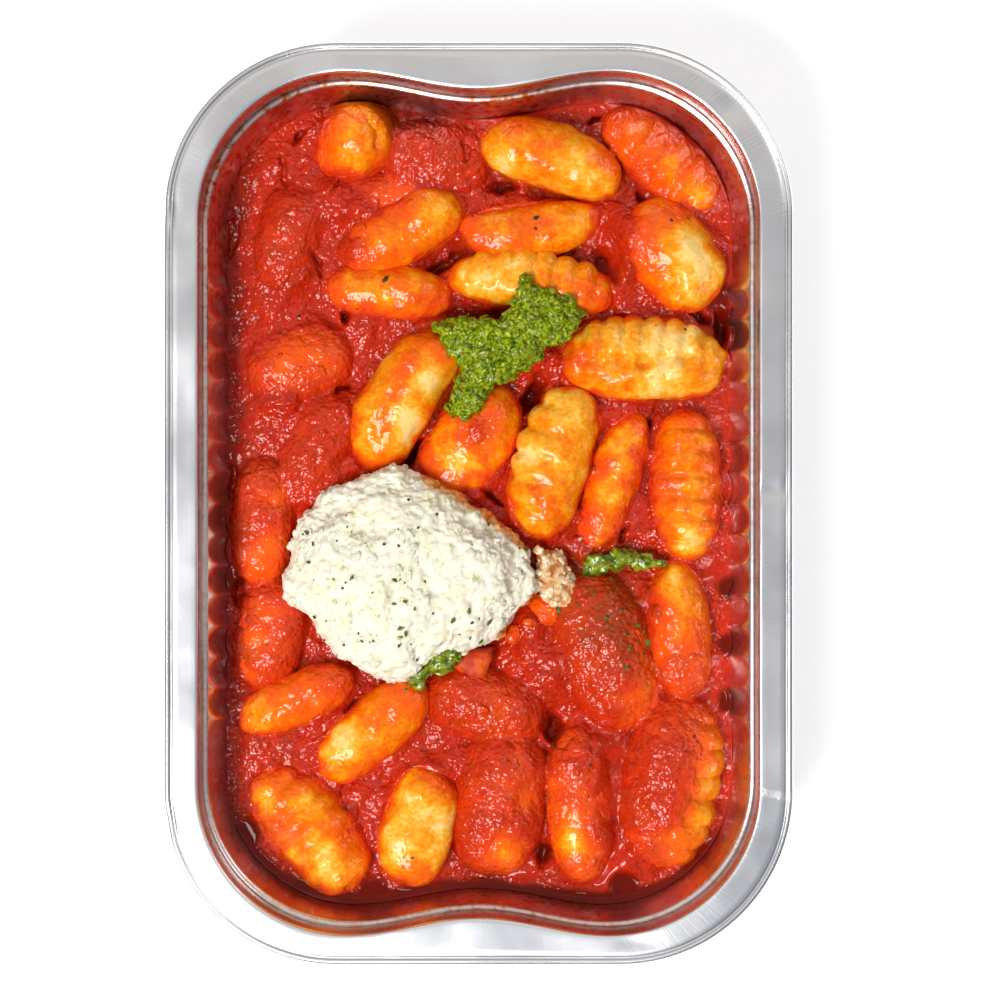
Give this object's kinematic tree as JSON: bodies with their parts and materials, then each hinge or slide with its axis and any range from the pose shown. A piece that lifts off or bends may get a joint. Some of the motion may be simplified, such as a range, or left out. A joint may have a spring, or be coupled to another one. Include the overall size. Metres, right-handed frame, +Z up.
{
  "type": "potato gnocchi in a foil tray",
  "caption": "Foil ready-meal tray of potato gnocchi in tomato sauce, topped with a spoonful of herb ricotta and green pesto.",
  "frame": {"origin": "bottom centre of the foil tray, on the surface it stands on", "axes": "+Z up, +Y along the tray's long side, +X across it"},
  "size_m": [0.131, 0.192, 0.038],
  "materials": {
    "foil": "pressed foil with fine rolling lines, bright and slightly creased",
    "sauce": "wet pulpy tomato sauce with an oily gloss",
    "dough": "smooth boiled potato dough, stained orange and wet with oil",
    "coated_dough": "potato dough under a thin coat of tomato sauce",
    "ricotta": "crumbly moist curd with chopped herbs and pepper",
    "pesto": "coarse chopped basil in oil",
    "tomato": "smooth wet tomato flesh"
  },
  "bodies": {
    "root": {"foil_tray": "foil", "tomato_sauce": "sauce", "gnocco_01": "dough", "gnocco_02": "coated_dough", "gnocco_03": "dough", "gnocco_04": "dough", "gnocco_05": "coated_dough", "gnocco_06": "coated_dough", "gnocco_07": "dough", "gnocco_08": "dough", "gnocco_09": "dough", "gnocco_10": "dough", "gnocco_11": "dough", "gnocco_12": "dough", "gnocco_13": "dough", "gnocco_14": "coated_dough", "gnocco_15": "dough", "gnocco_16": "dough", "gnocco_17": "dough", "gnocco_18": "dough", "gnocco_19": "dough", "gnocco_20": "coated_dough", "gnocco_21": "coated_dough", "gnocco_22": "coated_dough", "gnocco_23": "dough", "gnocco_24": "dough", "gnocco_25": "dough", "gnocco_26": "dough", "gnocco_27": "coated_dough", "gnocco_28": "coated_dough", "gnocco_29": "dough", "gnocco_30": "coated_dough", "gnocco_31": "dough", "gnocco_32": "dough", "herb_ricotta": "ricotta", "ricotta_crumbs": "ricotta", "pesto_dollop": "pesto", "pesto_strip": "pesto", "pesto_smear": "pesto", "tomato_piece": "tomato"}
  },
  "joints": []
}
